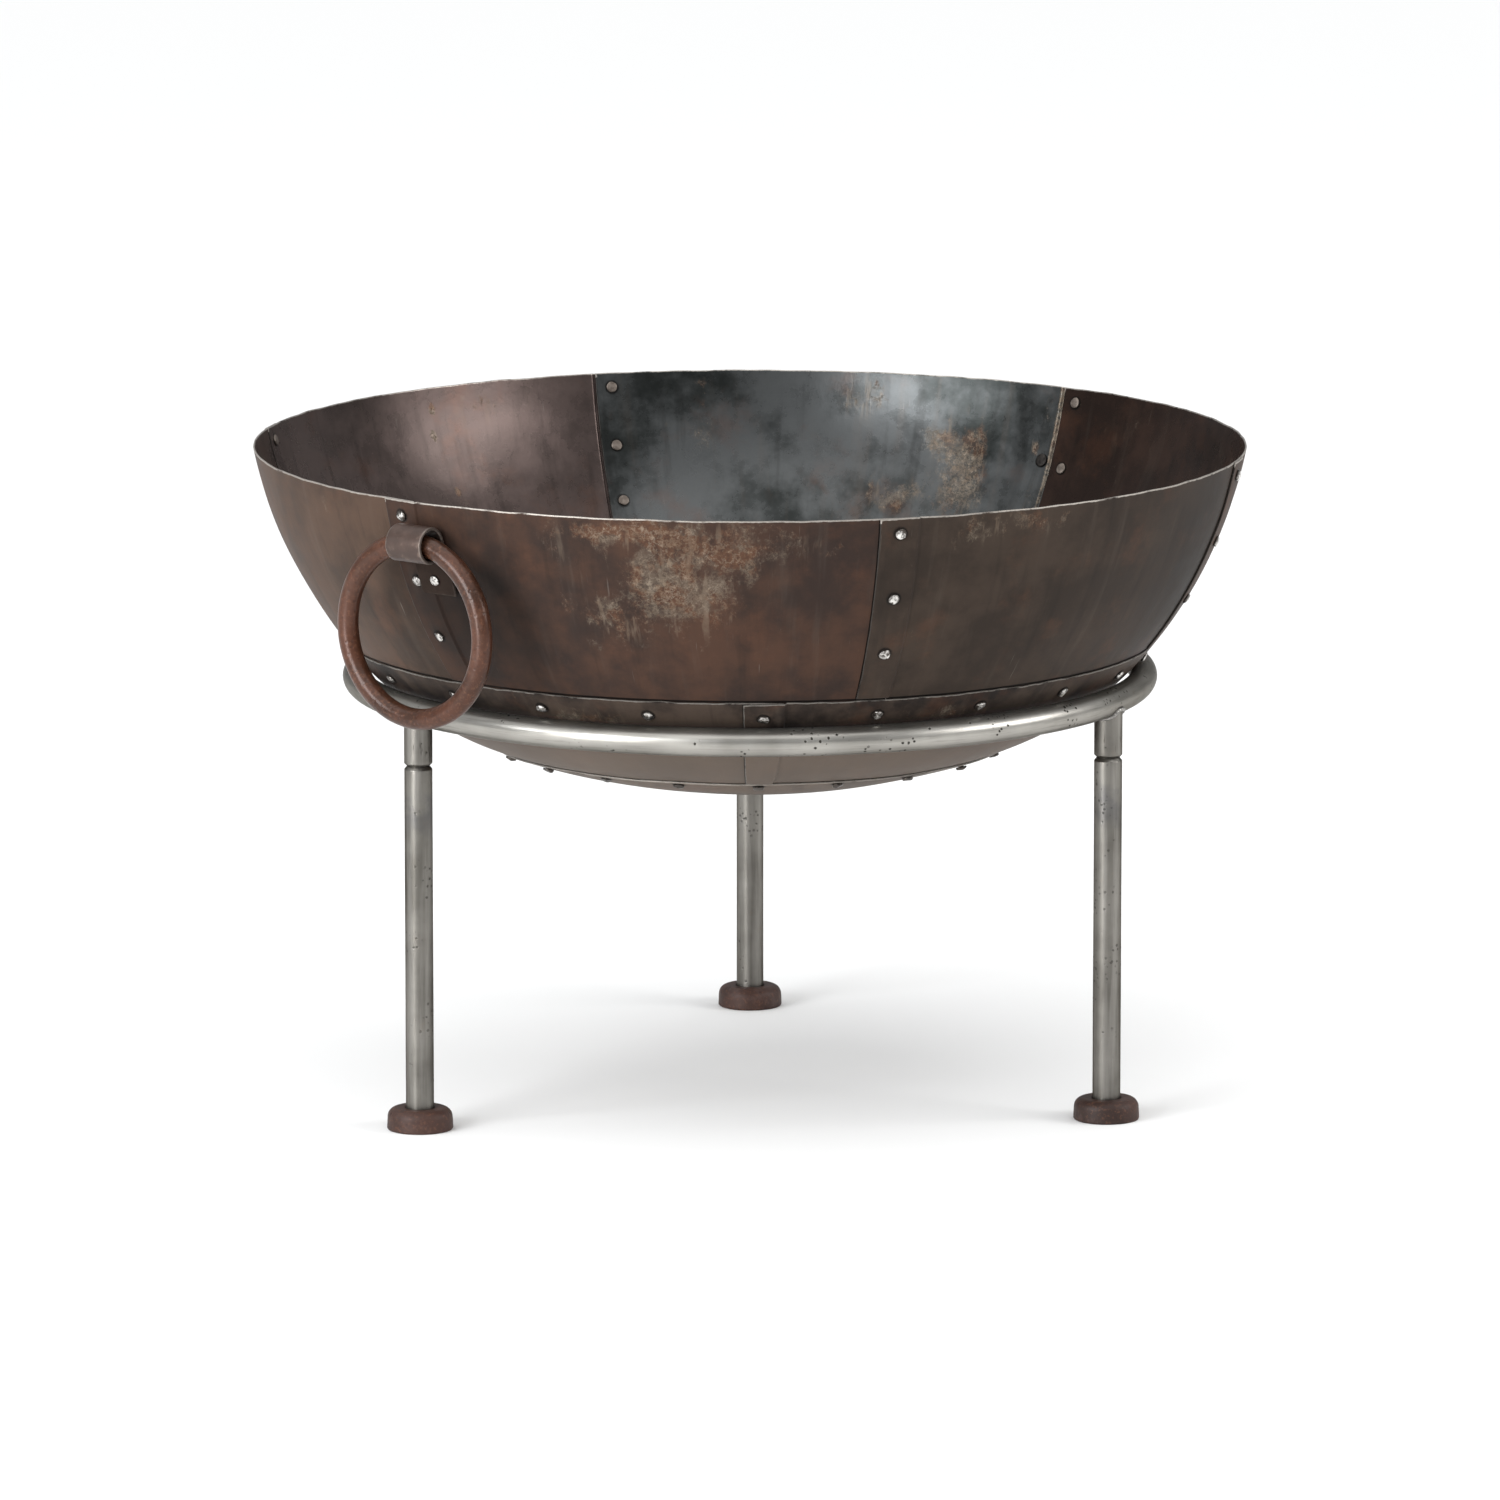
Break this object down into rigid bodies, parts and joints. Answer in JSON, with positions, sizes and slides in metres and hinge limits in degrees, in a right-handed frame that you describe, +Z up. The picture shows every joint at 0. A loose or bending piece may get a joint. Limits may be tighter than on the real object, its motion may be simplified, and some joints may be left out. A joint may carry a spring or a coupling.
{
  "type": "riveted fire bowl on a tripod ring stand",
  "caption": "Open riveted steel fire bowl with two swinging ring handles, standing loose in a tube ring with three plug-in legs on round feet.",
  "frame": {"origin": "on the bowl's axis at floor level, under the middle of the bounding box", "axes": "+Z up, -Y the front, between the two front legs; +X to the right seen from the front"},
  "size_m": [0.9, 0.9, 0.5923],
  "materials": {
    "bowl_sheet": "hand-riveted sheet, oxidised dark brown to grey-black, satin, with tan scale patches",
    "rivet_steel": "hammered heads, worn bright on their high points",
    "strap_iron": "grey-brown, satin, bright worn edges",
    "rusty_iron": "matte reddish-brown rust",
    "tube_steel": "raw steel tube, dull lengthwise grain, dark pits and heat tint"
  },
  "bodies": {
    "stand": {"stand_ring": "tube_steel", "leg_socket_1": "tube_steel", "leg_socket_2": "tube_steel", "leg_socket_3": "tube_steel", "socket_welds": "tube_steel"},
    "bowl": {"upper_panel_1": "bowl_sheet", "upper_panel_2": "bowl_sheet", "upper_panel_3": "bowl_sheet", "upper_panel_4": "bowl_sheet", "upper_panel_5": "bowl_sheet", "upper_panel_6": "bowl_sheet", "middle_band_1": "bowl_sheet", "middle_band_2": "bowl_sheet", "bottom_dish": "bowl_sheet", "seam_rivets": "rivet_steel", "girth_rivets": "rivet_steel", "dish_rivets": "rivet_steel", "handle_strap_1": "strap_iron", "handle_strap_2": "strap_iron", "strap_rivets": "rivet_steel"},
    "handle_1": {"ring_handle_1": "rusty_iron"},
    "handle_2": {"ring_handle_2": "rusty_iron"},
    "leg_1": {"leg_tube_1": "tube_steel", "leg_spigot_1": "tube_steel", "foot_1": "rusty_iron"},
    "leg_2": {"leg_tube_2": "tube_steel", "leg_spigot_2": "tube_steel", "foot_2": "rusty_iron"},
    "leg_3": {"leg_tube_3": "tube_steel", "leg_spigot_3": "tube_steel", "foot_3": "rusty_iron"}
  },
  "joints": [
    {"name": "bowl_lift", "type": "slide", "parent": "stand", "child": "bowl", "axis": [0, 0, 1], "range_m": [0, 0.15]},
    {"name": "handle_1_swing", "type": "hinge", "parent": "bowl", "child": "handle_1", "pos_m": [-0.29414, -0.35555, 0.5566], "axis": [-0.7705, 0.6374, 0], "range_deg": [-27, 180]},
    {"name": "handle_2_swing", "type": "hinge", "parent": "bowl", "child": "handle_2", "pos_m": [0.29414, 0.35555, 0.5566], "axis": [0.7705, -0.6374, 0], "range_deg": [-27, 180]},
    {"name": "leg_1_pull", "type": "slide", "parent": "stand", "child": "leg_1", "axis": [0, 0, -1], "range_m": [0, 0.05]},
    {"name": "leg_2_pull", "type": "slide", "parent": "stand", "child": "leg_2", "axis": [0, 0, -1], "range_m": [0, 0.05]},
    {"name": "leg_3_pull", "type": "slide", "parent": "stand", "child": "leg_3", "axis": [0, 0, -1], "range_m": [0, 0.05]}
  ]
}
